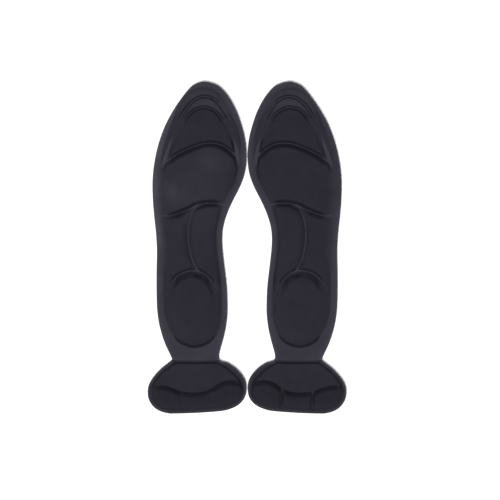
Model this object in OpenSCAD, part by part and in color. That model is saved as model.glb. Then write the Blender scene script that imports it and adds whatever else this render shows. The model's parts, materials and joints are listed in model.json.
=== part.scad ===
// A pair of moulded foam insoles for narrow shoes. Each one is a laminate of a knitted cover, a pressed foam
// core and a backing cloth, with pressed cushions, and a heel grip that folds up at a pressed crease.
// Origin: middle of the pair, on the surface it lies on. +Y points to the toes, +Z up.

/* [Plan size] */
// Length of one insole with its heel grip laid flat
overall_l = 276.4; // [240:0.4:300]
// Width of one insole at its widest, across the heel grip
insole_w = 82.2; // [70:0.2:90]
// Gap between the two insoles where they come closest
pair_gap = 1.2; // [0.8:0.1:20]

/* [Layers] */
// Release film under each adhesive patch
liner_t = 0.12; // [0.08:0.01:0.2]
// Adhesive patch
adhesive_t = 0.15; // [0.1:0.01:0.3]
// Backing cloth
backing_t = 0.5; // [0.3:0.05:0.8]
// Foam where it is pressed thin, at the rim and in the grooves
rim_foam_t = 1.2; // [0.8:0.1:2]
// Knitted cover
cover_t = 0.5; // [0.3:0.05:0.8]

/* [Cushion heights above the rim] */
// Ridges round the toe
toe_ridge_h = 1.2; // [0.5:0.1:2]
// Toe cushion
toe_pad_h = 2.2; // [1:0.1:3]
// Ball cushion
ball_pad_h = 3.2; // [2:0.1:5]
// Two arch cushions
arch_pad_h = 3.0; // [2:0.1:5]
// Heel cushion
heel_pad_h = 4.2; // [3:0.1:6]
// Upper field of the heel grip
grip_field_h = 1.6; // [0.5:0.1:3]
// Waved roll along the heel grip's free edge
grip_roll_h = 5.0; // [3:0.1:6]

/* [Flexing] */
// Angle of the toe, ball and heel flex lines to the pair's width
flex_skew = 6; // [0:0.5:10]
// Half of the notch in the cushions at the toe flex line, for a 45 degree bend
toe_notch = 25; // [24:1:30]
// Half of the notch in the cushions at the ball flex line, for a 35 degree bend
ball_notch = 20; // [19:1:30]
// Clearance between neighbouring sections
section_gap = 0.3; // [0.2:0.05:0.6]

/* [Hidden] */

// The plan below is drawn for an insole of this length and width, whose inner edge lies at this x.
plan_l = 276.4;
plan_w = 82.2;
plan_edge_x = -0.6;
scale_x = insole_w / plan_w;
scale_y = overall_l / plan_l;

COLS = 15;             // cells across a section
ROW_STEP = 5;          // length of a cell along a section
EDGE_SAMPLES = 4;      // points that a curve gets between two of its drawn points
TIP_W = 0.4;           // the last row stops this far short of the toe's tip
GLUE_GAP = 0.03;       // between the foam and the cover laid on it
PATCH_CORNER_R = 6;    // corners of the adhesive patches
LINER_MARGIN = 1.5;    // how far a release film runs past its patch
TAB_W = 12;            // pull tab of a release film
TAB_L = 5;

backing_z = liner_t + adhesive_t;
foam_z = backing_z + backing_t;
floor_z = foam_z + rim_foam_t;            // the foam's top where it is pressed thin
rim_z = floor_z + GLUE_GAP + cover_t;     // the cover's top there, and the height of the fold-up hinges

// Outer edge of the left insole, from the neck to the toe, outer side and inner side.
SOLE_OUTER = [[-62.3, -93.6], [-63.4, -90.6], [-68.1, -80.6], [-71.5, -70.6], [-73.8, -60.6], [-75, -50],
    [-75.4, -36], [-75.4, -20], [-75.1, -3], [-75.9, 12], [-77.4, 26], [-78.6, 42], [-78.7, 57], [-77, 72],
    [-73.4, 87.5], [-68, 102], [-61.3, 114.4], [-54.5, 124.4], [-48.2, 132.2], [-43.3, 136], [-35.5, 138.2]];
SOLE_INNER = [[-23.2, -93.6], [-23.7, -89.5], [-22.7, -85.6], [-19.7, -75.6], [-17.6, -65.6], [-16.4, -54],
    [-16.5, -42], [-17.2, -30], [-18.9, -15.6], [-20.3, -3], [-20.8, 8], [-19.7, 18], [-16.3, 29],
    [-11.6, 39.4], [-6.5, 49.4], [-2.6, 59.4], [-0.8, 69.4], [-0.6, 80], [-2, 92], [-5.2, 104],
    [-9.1, 114.4], [-14.5, 124.4], [-20.8, 132.2], [-26.5, 136], [-35.5, 138.2]];
// Outer edge of the heel grip, from its free edge to the neck.
GRIP_OUTER = [[-61, -138.2], [-66, -138], [-71.5, -136.6], [-76.3, -134], [-80, -130], [-82.2, -125.4],
    [-82.8, -120], [-82.2, -115.4], [-80, -110.6], [-76.2, -105.6], [-71.3, -100.6], [-66.6, -96.8],
    [-62.3, -93.6]];
GRIP_INNER = [[-22, -136.2], [-14, -134.4], [-8, -131.6], [-3.6, -127.5], [-1.4, -123.2], [-0.6, -118],
    [-0.9, -113], [-2.4, -108.6], [-5.6, -104], [-10.2, -99.6], [-16, -95.9], [-19.8, -94.4], [-23.2, -93.6]];
// Where the cushions end and the flat rim begins.
PADS_OUTER = [[-44.5, -84], [-55.6, -80.2], [-61.9, -73], [-66, -65], [-69, -54], [-70, -42], [-70, -28],
    [-70.2, -14], [-70.5, 0], [-71.2, 12], [-71.9, 26], [-72.8, 40], [-73, 54], [-72.6, 68], [-70.6, 79],
    [-66.6, 93], [-61, 109], [-54.3, 121.6], [-47, 130], [-37.5, 133.4]];
PADS_INNER = [[-44.5, -84], [-32.7, -80.2], [-25.4, -73], [-21.4, -62], [-20.8, -48], [-21.4, -34],
    [-22.4, -22], [-24, -10], [-25.3, 3], [-25.2, 14], [-23.3, 24], [-20, 34.5], [-15, 46], [-9.8, 54.4],
    [-7, 63], [-5.6, 72], [-5, 82], [-5.6, 90], [-8.6, 102], [-14, 111.8], [-20.2, 122.6], [-27.5, 130],
    [-37.5, 133.4]];
// Pressed grooves between the cushions.
TOE_GROOVE = [[-66, 72.6], [-57.7, 77.8], [-50, 81.8], [-42, 85.3], [-35.5, 87.4], [-28.5, 87.6],
    [-21.2, 85.6], [-15, 81.5], [-10, 77]];
BALL_GROOVE = [[-72.5, 26], [-62, 26.8], [-52.5, 29.9], [-45, 33.2], [-36, 36], [-27.5, 36.6], [-19, 35.4]];
ARCH_GROOVE = [[-42.5, 33.5], [-46.6, 27], [-48.8, 18.9], [-49.1, 8.5], [-47.8, -2], [-45.2, -11.3],
    [-41, -19]];
HEEL_GROOVE = [[-67, -36], [-63.5, -29.5], [-60, -25.6], [-55, -21.8], [-48.3, -19.4], [-41, -19.5],
    [-35.8, -22.2], [-30.6, -26.6], [-26.5, -32], [-24, -38]];
// Upper edge of the heel grip's roll.
GRIP_WAVE = [[-78.5, -115], [-71, -114.2], [-64.8, -115.4], [-58.5, -117.7], [-52.3, -119.4], [-43, -119.8],
    [-33.5, -118.5], [-28.3, -116], [-22, -111.9], [-14.8, -110.2], [-8.5, -110.7], [-4.5, -113]];
GRIP_CREASES = [[[-55, -116], [-54.4, -135]], [[-29, -115], [-28.6, -134]]];
GRIP_FIELD_CLEAR = 3.5; // from the crease line to the start of the grip's cushions
GRIP_RIM = 3;           // width of the heel grip's flat rim

// Flex lines: a point on each, and its angle.
TOE_LINE = [[-38, 80], flex_skew];
BALL_LINE = [[-46, 31], flex_skew];
HEEL_LINE = [[-46, -24], flex_skew];
CREASE_LINE = [[-43, -94], 0];

// Sections: name, edge tables, lower flex line, upper flex line, lower notch and upper notch.
function section(name) =
    name == "toe" ? [sole_outer, sole_inner, TOE_LINE, undef, toe_notch, 0] :
    name == "ball" ? [sole_outer, sole_inner, BALL_LINE, TOE_LINE, ball_notch, toe_notch] :
    name == "arch" ? [sole_outer, sole_inner, HEEL_LINE, BALL_LINE, 0, ball_notch] :
    name == "heel" ? [whole_outer, whole_inner, CREASE_LINE, HEEL_LINE, 0, 0] :
    [grip_outer, grip_inner, undef, CREASE_LINE, 0, 0];

// Catmull-Rom curve through drawn points.
function between(a, b, c, d, t) =
    0.5 * (2 * b + (c - a) * t + (2 * a - 5 * b + 4 * c - d) * t * t + (3 * b - a - 3 * c + d) * t * t * t);
function smooth(p) = [
    for (i = [0 : len(p) - 2])
        for (k = [0 : EDGE_SAMPLES - 1])
            between(p[max(i - 1, 0)], p[i], p[i + 1], p[min(i + 2, len(p) - 1)], k / EDGE_SAMPLES),
    p[len(p) - 1]];
// The same curve as a table of x by y, for lookup().
function by_y(p) = [for (q = smooth(p)) [q.y, q.x]];

sole_outer = by_y(SOLE_OUTER);
sole_inner = by_y(SOLE_INNER);
grip_outer = by_y(GRIP_OUTER);
grip_inner = by_y(GRIP_INNER);
whole_outer = concat([for (q = grip_outer) if (q[0] < -93.6) q], sole_outer);
whole_inner = concat([for (q = grip_inner) if (q[0] < -93.6) q], sole_inner);
pads_outer = smooth(PADS_OUTER);
pads_inner = smooth(PADS_INNER);
pads_outer_by_y = by_y(PADS_OUTER);
pads_inner_by_y = by_y(PADS_INNER);
wave_by_x = [for (q = smooth(GRIP_WAVE)) [q.x, q.y]];

// Distance from a point to a stretch of line, and to a drawn line.
function to_stretch(p, a, b) =
    let (t = max(0, min(1, (p - a) * (b - a) / ((b - a) * (b - a)))))
    norm(p - a - t * (b - a));
function to_line(p, line) = min([for (i = [0 : len(line) - 2]) to_stretch(p, line[i], line[i + 1])]);

// Pillow profile: 0 at the seam, 1 on the crown, with a round shoulder.
function pillow(t) = t <= 0 ? 0 : t >= 1 ? 1 : sqrt(1 - (1 - t) * (1 - t));
function groove(p, line, width, depth) = 1 - depth * (1 - pillow(to_line(p, line) / width));

// Height of the cushions' crowns along the sole.
function crown_h(y) = lookup(y, [
    [-84, heel_pad_h], [-30, heel_pad_h], [-20, arch_pad_h], [26, arch_pad_h], [38, ball_pad_h],
    [74, ball_pad_h], [88, toe_pad_h], [106, toe_pad_h], [118, toe_ridge_h], [134, toe_ridge_h]]);
function on_pads(p) =
    p.y > -84 && p.y < 133.4 && p.x > lookup(p.y, pads_outer_by_y) && p.x < lookup(p.y, pads_inner_by_y);
function sole_relief(p) = !on_pads(p) ? 0 :
    crown_h(p.y) * pillow(min(to_line(p, pads_outer), to_line(p, pads_inner)) / 6)
        * groove(p, TOE_GROOVE, 4, 0.8) * groove(p, BALL_GROOVE, 4, 0.8)
        * groove(p, ARCH_GROOVE, 4, 0.6) * groove(p, HEEL_GROOVE, 4.5, 0.7);

// The heel grip's free edge runs at a slight slant.
function free_edge_y(x) = -138.2 + 0.05 * (x + 61);
function grip_inset(p) = min(p.x - lookup(p.y, grip_outer), lookup(p.y, grip_inner) - p.x,
    p.y - free_edge_y(p.x), CREASE_LINE[0].y - GRIP_FIELD_CLEAR + GRIP_RIM - p.y) - GRIP_RIM;
function grip_relief(p) =
    let (inset = grip_inset(p), below = lookup(p.x, wave_by_x) - p.y)
    inset <= 0 ? 0 :
    grip_field_h * pillow(inset / 4)
        + (grip_roll_h - grip_field_h) * pillow(below / 7) * pillow(inset / 7)
            * groove(p, GRIP_CREASES[0], 3, 0.3) * groove(p, GRIP_CREASES[1], 3, 0.3);

function relief(p) = p.y < CREASE_LINE[0].y ? grip_relief(p) : sole_relief(p);

// Where an edge meets a flex line, moved along +Y by off.
function line_y(line, x, off) = line[0].y + tan(line[1]) * (x - line[0].x) + off / cos(line[1]);
function meet_y(edge, line, off) =
    let (y0 = line_y(line, lookup(line[0].y, edge), off), y1 = line_y(line, lookup(y0, edge), off))
    line_y(line, lookup(y1, edge), off);
function first_y(edge) = edge[0][0];
function last_y(edge) = edge[len(edge) - 1][0] - TIP_W;

// Rows bunch up towards a round end, so that its curve keeps its shape.
function share(s, v) = s[2] == undef ? 1 - cos(90 * v) : s[3] == undef ? sin(90 * v) : v;
function row_count(s, y0, y1) = ceil((y1 - y0) / ROW_STEP) + 2;

// Points of a section in plan: rows from the lower flex line to the upper one, each from outer to inner edge.
function plan(name) =
    let (s = section(name), half = section_gap / 2,
        low = [for (e = [0, 1]) s[2] == undef ? first_y(s[e]) : meet_y(s[e], s[2], half)],
        high = [for (e = [0, 1]) s[3] == undef ? last_y(s[e]) : meet_y(s[e], s[3], -half)],
        n = row_count(s, low[0], high[0]))
    [for (j = [0 : n])
        let (ys = [for (e = [0, 1]) low[e] + (high[e] - low[e]) * share(s, j / n)],
            a = [lookup(ys[0], s[0]), ys[0]], b = [lookup(ys[1], s[1]), ys[1]])
        [for (i = [0 : COLS]) a + (b - a) * i / COLS]];

// A drawn point at its place in the pair.
function placed(p, z) = [scale_x * (p.x - plan_edge_x) - pair_gap / 2, scale_y * p.y, z];

// A surface of a layer: the plan lifted by lift above the foam, its ends drawn back to leave the notches open.
function skin(name, lift) =
    let (s = section(name), rows = plan(name), last = len(rows) - 1)
    [for (j = [0 : last]) for (p = rows[j])
        let (z = floor_z + relief(p) + lift, over = max(0, z - rim_z),
            back = j == 0 ? over * tan(s[4]) : j == last ? -over * tan(s[5]) : 0)
        placed(p + [0, back], z)];

// Indices round the border of a grid of rows by columns, anticlockwise from above.
function border(rows, cols) = concat(
    [for (i = [0 : cols - 1]) i],
    [for (j = [1 : rows - 1]) j * cols + cols - 1],
    [for (i = [cols - 2 : -1 : 0]) (rows - 1) * cols + i],
    [for (j = [rows - 2 : -1 : 1]) j * cols]);
function grid_faces(rows, cols, up) = [
    for (j = [0 : rows - 2]) for (i = [0 : cols - 2])
        let (a = j * cols + i, b = a + cols, c = b + 1, d = a + 1)
        each up ? [[a, b, c], [a, c, d]] : [[a, c, b], [a, d, c]]];
function shifted(faces, by) = [for (f = faces) [for (i = f) i + by]];
// A flat face through the border's points alone, as triangles from row to row. It faces down.
function base_faces(rows, cols) =
    let (right = [for (j = [0 : rows - 1]) cols - 1 + j],
        left = [for (j = [0 : rows - 1]) j == 0 ? 0 : 2 * (rows + cols - 2) - j])
    [for (k = [0 : right[1] - 1]) [left[1], k, k + 1],
        for (j = [1 : rows - 3]) each [
            [left[j], right[j], right[j + 1]], [left[j], right[j + 1], left[j + 1]]],
        for (k = [right[rows - 2] : left[rows - 1] - 1]) [left[rows - 2], k, k + 1]];
// Walls between the borders of an upper and a lower skin.
function walls(upper, lower) = [
    for (k = [0 : len(upper) - 1])
        let (n = (k + 1) % len(upper))
        each [[lower[k], upper[k], upper[n]], [lower[k], upper[n], lower[n]]]];

module foam(name) {
    flat = plan(name);
    rows = len(flat);
    cols = COLS + 1;
    edge = border(rows, cols);
    top = skin(name, 0);
    base = [for (k = edge) placed(flat[floor(k / cols)][k % cols], foam_z)];
    base_edge = [for (k = [0 : len(edge) - 1]) len(top) + k];
    color([0.1, 0.1, 0.11])
        polyhedron(concat(top, base), concat(grid_faces(rows, cols, true), walls(edge, base_edge),
            shifted(base_faces(rows, cols), len(top))), convexity = 6);
}

module cover(name) {
    rows = len(plan(name));
    cols = COLS + 1;
    edge = border(rows, cols);
    under = skin(name, GLUE_GAP);
    over = skin(name, GLUE_GAP + cover_t);
    color([0.2, 0.2, 0.23])
        polyhedron(concat(over, under), concat(grid_faces(rows, cols, true),
            shifted(grid_faces(rows, cols, false), len(over)), walls(edge, [for (k = edge) k + len(over)])),
            convexity = 6);
}

module backing(name) {
    flat = plan(name);
    cols = COLS + 1;
    outline = [for (k = border(len(flat), cols)) placed(flat[floor(k / cols)][k % cols], 0)];
    color([0.15, 0.15, 0.17])
        translate([0, 0, backing_z])
            linear_extrude(backing_t)
                polygon([for (q = outline) [q.x, q.y]]);
}

// Adhesive patches: centre and size.
function patch(name) =
    name == "ball" ? [[-42, 56], [52, 24]] :
    name == "heel" ? [[-46, -57], [34, 38]] :
    [[-42, -118], [56, 24]];

module rounded_plate(size, r, t) {
    linear_extrude(t) {
        square([size.x, size.y - 2 * r], center = true);
        square([size.x - 2 * r, size.y], center = true);
        for (x = [-1, 1], y = [-1, 1])
            translate([x * (size.x / 2 - r), y * (size.y / 2 - r)])
                circle(r, $fn = 48);
    }
}

module adhesive(name) {
    color([0.85, 0.83, 0.72])
        translate(placed(patch(name)[0], liner_t))
            rounded_plate(patch(name)[1], PATCH_CORNER_R, adhesive_t);
}

module liner(name) {
    size = patch(name)[1] + 2 * [LINER_MARGIN, LINER_MARGIN];
    color([0.93, 0.9, 0.78])
        translate(placed(patch(name)[0], 0)) {
            rounded_plate(size, PATCH_CORNER_R + LINER_MARGIN, liner_t);
            translate([-size.x / 2, 0, 0])
                rounded_plate([2 * TAB_L, TAB_W], TAB_L / 2, liner_t);
        }
}

module right() {
    mirror([1, 0, 0]) children();
}

foam("toe");  // left_toe_foam
cover("toe");  // left_toe_cover
backing("toe");  // left_toe_backing
foam("ball");  // left_ball_foam
cover("ball");  // left_ball_cover
backing("ball");  // left_ball_backing
adhesive("ball");  // left_ball_adhesive
liner("ball");  // left_ball_liner
foam("arch");  // left_arch_foam
cover("arch");  // left_arch_cover
backing("arch");  // left_arch_backing
foam("heel");  // left_heel_foam
cover("heel");  // left_heel_cover
backing("heel");  // left_heel_backing
adhesive("heel");  // left_heel_adhesive
liner("heel");  // left_heel_liner
foam("grip");  // left_grip_foam
cover("grip");  // left_grip_cover
backing("grip");  // left_grip_backing
adhesive("grip");  // left_grip_adhesive
liner("grip");  // left_grip_liner
right() foam("toe");  // right_toe_foam
right() cover("toe");  // right_toe_cover
right() backing("toe");  // right_toe_backing
right() foam("ball");  // right_ball_foam
right() cover("ball");  // right_ball_cover
right() backing("ball");  // right_ball_backing
right() adhesive("ball");  // right_ball_adhesive
right() liner("ball");  // right_ball_liner
right() foam("arch");  // right_arch_foam
right() cover("arch");  // right_arch_cover
right() backing("arch");  // right_arch_backing
right() foam("heel");  // right_heel_foam
right() cover("heel");  // right_heel_cover
right() backing("heel");  // right_heel_backing
right() adhesive("heel");  // right_heel_adhesive
right() liner("heel");  // right_heel_liner
right() foam("grip");  // right_grip_foam
right() cover("grip");  // right_grip_cover
right() backing("grip");  // right_grip_backing
right() adhesive("grip");  // right_grip_adhesive
right() liner("grip");  // right_grip_liner
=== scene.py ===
"""Looks for a pair of moulded foam insoles: a knitted cover, a foam core and a backing cloth on each side.

Each layer is one continuous shape, drawn in plan in millimetres and pressed into relief. It is cut across the
middle of the ball, of the arch and of the heel seat, so that each piece spans one flex line only.
"""
import json
import math

import bpy
import numpy as np
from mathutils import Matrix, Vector
from mathutils.bvhtree import BVHTree
from mathutils.geometry import delaunay_2d_cdt

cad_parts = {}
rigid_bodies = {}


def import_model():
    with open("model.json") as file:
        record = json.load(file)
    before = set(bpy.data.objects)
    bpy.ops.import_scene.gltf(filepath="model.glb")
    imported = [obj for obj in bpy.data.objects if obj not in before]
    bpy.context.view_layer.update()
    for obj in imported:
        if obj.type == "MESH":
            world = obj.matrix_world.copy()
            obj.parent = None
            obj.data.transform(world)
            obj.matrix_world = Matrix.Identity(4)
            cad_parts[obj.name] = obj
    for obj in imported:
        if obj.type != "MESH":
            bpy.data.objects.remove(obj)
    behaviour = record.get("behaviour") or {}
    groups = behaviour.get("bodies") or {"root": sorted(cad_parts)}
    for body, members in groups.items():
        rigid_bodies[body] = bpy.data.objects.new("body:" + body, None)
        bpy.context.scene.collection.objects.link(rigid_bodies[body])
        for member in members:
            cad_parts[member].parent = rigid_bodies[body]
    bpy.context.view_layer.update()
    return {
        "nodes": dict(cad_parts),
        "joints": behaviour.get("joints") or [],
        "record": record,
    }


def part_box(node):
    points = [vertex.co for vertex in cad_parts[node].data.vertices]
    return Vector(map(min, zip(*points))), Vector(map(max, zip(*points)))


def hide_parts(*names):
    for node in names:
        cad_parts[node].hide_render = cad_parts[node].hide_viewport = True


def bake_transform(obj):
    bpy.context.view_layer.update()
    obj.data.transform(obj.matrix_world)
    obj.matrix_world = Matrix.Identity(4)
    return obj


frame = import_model()

MM = 0.001
RNG = np.random.default_rng(7)
# Directions, phases and lengths in millimetres of the waves that make the foam's surface a little uneven.
WAVES = [(RNG.normal(0, 1, 2), RNG.uniform(0, 2 * math.pi), RNG.uniform(7, 26)) for _ in range(14)]

# ---------------------------------------------------------------------------------------------------------
# Plan of the left insole in millimetres, toes towards +Y. The right one is its mirror image.

# Outer edge as one closed curve: free edge of the heel grip, outer side, toe, inner side.
OUTLINE = [
    (-42, -137.7), (-61, -138.3), (-66, -138), (-71.5, -136.6), (-76.3, -134), (-80, -130),
    (-82.2, -125.4), (-82.8, -120), (-82.2, -115.4), (-80, -110.6), (-76.2, -105.6), (-71.3, -100.6),
    (-66.4, -96.7), (-62.7, -93.6), (-63.5, -90.4), (-68.1, -80.6), (-71.5, -70.6), (-73.8, -60.6),
    (-75, -50), (-75.4, -36), (-75.4, -20), (-75.1, -3), (-75.9, 12), (-77.4, 26), (-78.6, 42),
    (-78.7, 57), (-77, 72), (-73.4, 87.5), (-68, 102), (-61.3, 114.4), (-54.5, 124.4), (-48.2, 132.2),
    (-43.3, 136), (-35.5, 138.2), (-26.5, 136), (-20.8, 132.2), (-14.5, 124.4), (-9.1, 114.4),
    (-5.2, 104), (-2, 92), (-0.6, 80), (-0.8, 69.4), (-2.6, 59.4), (-6.5, 49.4), (-11.6, 39.4),
    (-16.3, 29), (-19.7, 18), (-20.8, 8), (-20.3, -3), (-18.9, -15.6), (-17.2, -30), (-16.5, -42),
    (-16.4, -54), (-17.6, -65.6), (-19.7, -75.6), (-22.5, -85.6), (-23.4, -90.2), (-22.8, -93.6),
    (-19.4, -94.9), (-16, -95.9), (-10.2, -99.6), (-5.6, -104), (-2.4, -108.6), (-0.9, -113),
    (-0.6, -118), (-1.4, -123.2), (-3.6, -127.5), (-8, -131.6), (-14, -134.4), (-22, -136.2)]
# Where the flat rim ends and the cushions begin, as a closed curve from the bottom of the heel cushion.
FIELD = [
    (-44.2, -83.6), (-55.6, -80), (-61.9, -72.7), (-66, -65), (-69, -54), (-70, -42), (-69.9, -28),
    (-69.9, -14), (-70.5, 0), (-71.2, 12), (-71.9, 26), (-72.8, 40), (-72.9, 50), (-72.2, 60),
    (-72.4, 68), (-71.2, 77.3), (-68.3, 88.5), (-64.4, 100.2), (-60.1, 111.2), (-54.3, 121.8),
    (-47.3, 129.8), (-37.9, 133), (-27, 130.4), (-20.2, 122.8), (-13.8, 111.6), (-8.6, 101.5),
    (-5.4, 89.8), (-5.2, 81), (-6.4, 71), (-7.8, 62.5), (-9.9, 54.4), (-14.6, 46), (-19, 38), (-21.7, 30),
    (-24, 21), (-25.4, 12), (-25.3, 2), (-24, -10), (-22.4, -22.5), (-21.3, -34), (-20.9, -46),
    (-21.6, -60), (-25.6, -72.7), (-32.9, -80.4)]
# Where the heel grip's rim ends, as a closed curve from the crease.
GRIP_FIELD = [
    (-43, -95.7), (-58.5, -95.4), (-66.2, -99.9), (-72, -104.7), (-76.8, -110.2), (-79.6, -116),
    (-80.4, -121), (-79.6, -125.8), (-76.4, -130.6), (-71.4, -134.2), (-65, -136.1), (-58, -136.5),
    (-40, -135.7), (-22, -134.3), (-13.4, -132), (-7.8, -129), (-4.4, -125), (-3, -120.4), (-3.2, -116),
    (-5.2, -111.3), (-8.8, -106.9), (-14, -102), (-20.6, -97.4), (-28, -95)]

# Pressed grooves: behind the outer ridge of the toe and round the toe cushion, two gutters beside the toe
# cushion, and the grooves behind it, behind the ball cushion, between the arch cushions and in front of the
# heel cushion.
RIDGE_GROOVE = [
    (-70.6, 66), (-69.6, 71), (-67.6, 78.5), (-63.8, 90), (-58.4, 103), (-51.2, 115.2), (-46.8, 120.5),
    (-41, 124.6), (-34.3, 125.7), (-28.5, 124.1), (-23.3, 120), (-19.9, 115), (-14.8, 106.5), (-10.8, 96),
    (-8, 86), (-6.6, 79)]
TOE_PAD_GROOVE = [
    (-64.6, 76.5), (-60.2, 89), (-56.2, 98), (-51, 107), (-47.6, 111.4), (-42.4, 115.3), (-35.3, 116.7),
    (-28.5, 114.6), (-22.8, 109.4), (-18.4, 102.4), (-14.4, 94), (-11.4, 85), (-10, 79)]
OUTER_GUTTER = [
    (-72.2, 61.5), (-70.2, 68.5), (-67.0, 77.5), (-63.6, 87.5), (-60.8, 95)]
INNER_GUTTER = [
    (-6.6, 66), (-7.6, 73), (-8.8, 80), (-10.6, 88), (-13.4, 96)]
TOE_GROOVE = [
    (-66.4, 72), (-62, 75), (-57.7, 77.8), (-50, 81.5), (-42, 84.7), (-35.5, 86.5), (-28.5, 86.8),
    (-21.2, 85), (-15, 81.2), (-9.8, 76.6)]
BALL_GROOVE = [
    (-73.4, 26.3), (-67, 26.2), (-61.5, 26.9), (-52.5, 29.9), (-45, 33.4), (-38, 35.9), (-32, 36.7),
    (-26, 36.6), (-17.6, 35.2)]
ARCH_GROOVE = [
    (-41.8, 35), (-44.6, 30.6), (-47.2, 25), (-48.8, 17), (-49, 8.5), (-47.8, -2), (-45.2, -11.3),
    (-40.6, -20)]
HEEL_GROOVE = [
    (-68.6, -40), (-66.6, -34.6), (-63.5, -29.5), (-60, -25.5), (-55, -21.8), (-48.3, -19.5),
    (-41, -19.5), (-35.8, -22.2), (-30.6, -26.6), (-26.5, -32), (-23.2, -39)]
# Upper edge of the heel grip's roll, and the creases across the roll.
GRIP_WAVE = [
    (-84, -113.6), (-77.3, -114.4), (-71, -114.4), (-64.8, -115.6), (-58.5, -118), (-52.3, -119.8),
    (-43, -120.3), (-34.5, -119.2), (-28.3, -116.2), (-22, -111.9), (-14.8, -110), (-8.5, -110.5),
    (-2, -113)]
GRIP_CREASES = (
    [(-54.8, -116.5), (-54.3, -126), (-53.8, -135.4)],
    [(-29.2, -114), (-28.7, -125), (-28.4, -134)])
# How strongly the two creases across the grip's roll are set, on each side.
CREASE_DEPTH = {"left": 0.1, "right": 0.6}
# Where along the outer side the rim gets painted light, from and to, and by how much, on each side: painted
# sheen on the left, painted shade on the right.
RIM_PAINTED_LIGHT = {"left": (10, 104, 0.4), "right": (40, 90, -0.18)}
# Painted highlights on the ball cushion on each side, in one wide patch and in small spots, each given by its
# place and radius, and the painted shade on the grip's roll.
BALL_PAINTED_HIGHLIGHT = {"left": 0.16, "right": 0.0}
BALL_HIGHLIGHT_PATCH = (-45, 46, 34)
BALL_HIGHLIGHT_SPOTS = {"left": [(-31, 72, 10), (-63, 46, 9)], "right": []}
SPOT_PAINTED_HIGHLIGHT = 0.2
ROLL_PAINTED_SHADE = 0.6

# The CAD outline's box in this plan, which places it in the frame.
PLAN_LOW, PLAN_HIGH = np.array((-82.8, -138.2)), np.array((-0.6, 137.8))

# The plan's width, and the width of the crease that the heel grip folds along, its middle and its bow.
PLAN_X, FOLD_X = (-84, 0), (-68, -18)
FOLD_MIDDLE, FOLD_BOW = (-43, -95.1), 0.0016
# Where the heel grip's relief takes over from the sole's.
GRIP_Y = -94.6
# The middle of the sole, which parts its outer side from its inner side.
MIDDLE_X = -45

# Heights above the rim: the cushions' from heel to toe, the toe's ridges', the grip's field's and its roll's.
CROWN_Y = [-84, -66, -34, -24, -16, 20, 32, 42, 74, 84, 92, 104, 118, 134]
CROWN_H = [3.4, 4.2, 4.2, 3.6, 3.0, 2.9, 3.0, 3.3, 3.2, 3.1, 2.4, 2.1, 1.5, 1.2]
RIDGE_H = 1.55
GRIP_FIELD_H = 1.3
GRIP_ROLL_H = 5.2

# Where each layer is cut into pieces. For each piece: its name, its ends, the two bodies that it bends
# between, the CAD sections that it stands for and the adhesive patches under it.
CUTS = (-58.0, 4.0, 55.0)
PIECES = [
    ("heel_to_grip", None, CUTS[0], "heel", "grip", ("grip",), ("heel", "grip")),
    ("arch_to_heel", CUTS[0], CUTS[1], "arch", "heel", ("heel",), ("heel",)),
    ("ball_to_arch", CUTS[1], CUTS[2], "ball", "arch", ("arch",), ("ball",)),
    ("toe_to_ball", CUTS[2], None, "ball", "toe", ("toe", "ball"), ("ball",))]
# How far each bend reaches, in millimetres from the flex line: back into the first body, on into the second.
BEND_REACH = {"toe": (6.5, 9.5), "arch": (8, 10), "heel": (14, 10), "grip": (4.5, 5.5)}

# The press's fine line inside the grip's edge, and the crease that the grip folds along: depth and width. The
# line's distance from the edge comes first.
EDGE_LINE_AT, EDGE_LINE_DEPTH, EDGE_LINE_W = 1.25, 0.16, 0.3
FOLD_DEPTH, FOLD_W = 0.75, 0.75
# Share of its height by which the foam is uneven, and how far the right side's waves are shifted against the
# left's.
UNEVEN_SHARE, UNEVEN_SHIFT = 0.035, 57.0
# Radius of the cover's shoulder at the cut edge, and the glue between the cover and the foam.
EDGE_ROUND = 0.38
GLUE_T = 0.02
# Slopes between which painted shade darkens the walls of the relief.
DARK_SLOPE = (0.3, 0.78)
# How smooth and light the press leaves the rim, how much more so its outermost strip, and the toe's ridges,
# the grooves, the one between the arch cushions and the creases across the grip's roll; at the grip's edge, a
# painted highlight.
RIM_SHINE, STRIP_SHINE, RIDGE_SHINE = 0.36, 0.24, 0.36
GROOVE_SHINE, ARCH_SHINE, GRIP_EDGE_HIGHLIGHT, CREASE_SHINE = 0.62, 0.42, 0.5, 0.16

# Meshes: spacing of points along the edge, the fold crease and the other lines, grids of the cover and foam
# and of the backing, and the cell in which the points on the lines are thinned to one.
EDGE_STEP, FOLD_STEP, LINE_STEP = 0.75, 0.6, 0.9
FINE_GRID, COARSE_GRID = 1.15, 2.6
LINE_CELL = 0.5
# Room that the points keep from a cut and from the border, and distances of a cut's own points from its ends.
CUT_CLEAR, BORDER_CLEAR = 0.4, 0.1
CUT_ENDS = (0.12, 0.3, 0.55, 0.95)
# Distances of the rows of points from the edge, from the grip's edge, from the fold crease, from the rim's
# end and from each groove.
EDGE_ROWS = (0.14, 0.32, 0.6, 1.0)
GRIP_EDGE_ROWS = (EDGE_LINE_AT, 1.55)
FOLD_ROWS = (-1.1, -0.55, 0, 0.55, 1.1)
FIELD_ROWS = (-0.3, 0.1, 0.4, 0.8, 1.3, 2.0, 2.9)
GROOVE_ROWS = (0, 0.35, 0.75, 1.2, 1.8, 2.6, 3.5, 4.6)
# Distance between the backing's rows at a bend and between a row's points, and half of a row's length.
BEND_ROW, BEND_STEP, BEND_HALF_L = 1.0, 1.6, 45
# How far apart the relief is sampled for its slope.
SLOPE_DELTA = 0.06

# The simulated swell: its grid in millimetres, Blender units per millimetre, frames, pressure, the lift in
# millimetres that counts as 63 percent of a full swell, and its share of the cushions' height.
SWELL_GRID, SWELL_SCALE, SWELL_FRAMES = 2.4, 0.01, 25
SWELL_PRESSURE, SWELL_FULL, SWELL_SHARE = 3.0, 1.0, 0.3
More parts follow.
